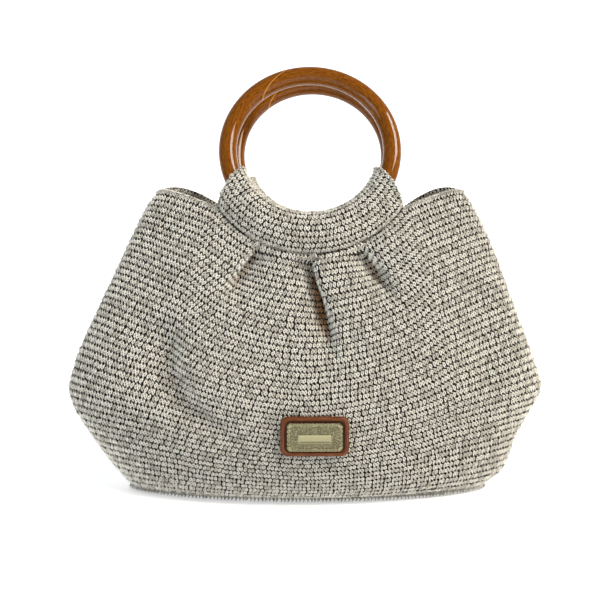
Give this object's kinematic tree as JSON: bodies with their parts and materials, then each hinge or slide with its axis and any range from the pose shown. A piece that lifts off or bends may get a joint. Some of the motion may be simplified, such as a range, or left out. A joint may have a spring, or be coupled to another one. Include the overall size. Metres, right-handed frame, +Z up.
{
  "type": "crocheted handbag with round wooden handles",
  "caption": "Soft crocheted handbag, pleated below its mouth and widening low down, carried by round wooden rings in crochet sleeves, with a leather patch and metal plate.",
  "frame": {"origin": "centre of the bag's flat underside", "axes": "+Z up, +X to the right seen from the front, the front with the patch faces -Y"},
  "size_m": [0.3742, 0.1391, 0.3339],
  "materials": {
    "crochet": "matte mottled yarn",
    "lacquered_wood": "gloss lacquer",
    "brown_leather": "satin",
    "cast_metal": "pale antique gold, satin"
  },
  "bodies": {
    "bag": {"base": "crochet", "front_panel": "crochet", "back_panel": "crochet", "front_sleeve": "crochet", "back_sleeve": "crochet", "leather_patch": "brown_leather", "metal_plate": "cast_metal"},
    "front_handle": {"front_ring": "lacquered_wood"},
    "back_handle": {"back_ring": "lacquered_wood"}
  },
  "joints": [
    {"name": "front_ring_turn", "type": "hinge", "parent": "bag", "child": "front_handle", "pos_m": [0.004, 0.01008, 0.267], "axis": [0, 0.9397, -0.342], "continuous": true},
    {"name": "back_ring_turn", "type": "hinge", "parent": "bag", "child": "back_handle", "pos_m": [0.0069, 0.05168, 0.267], "axis": [0, 0.9397, -0.342], "continuous": true}
  ]
}
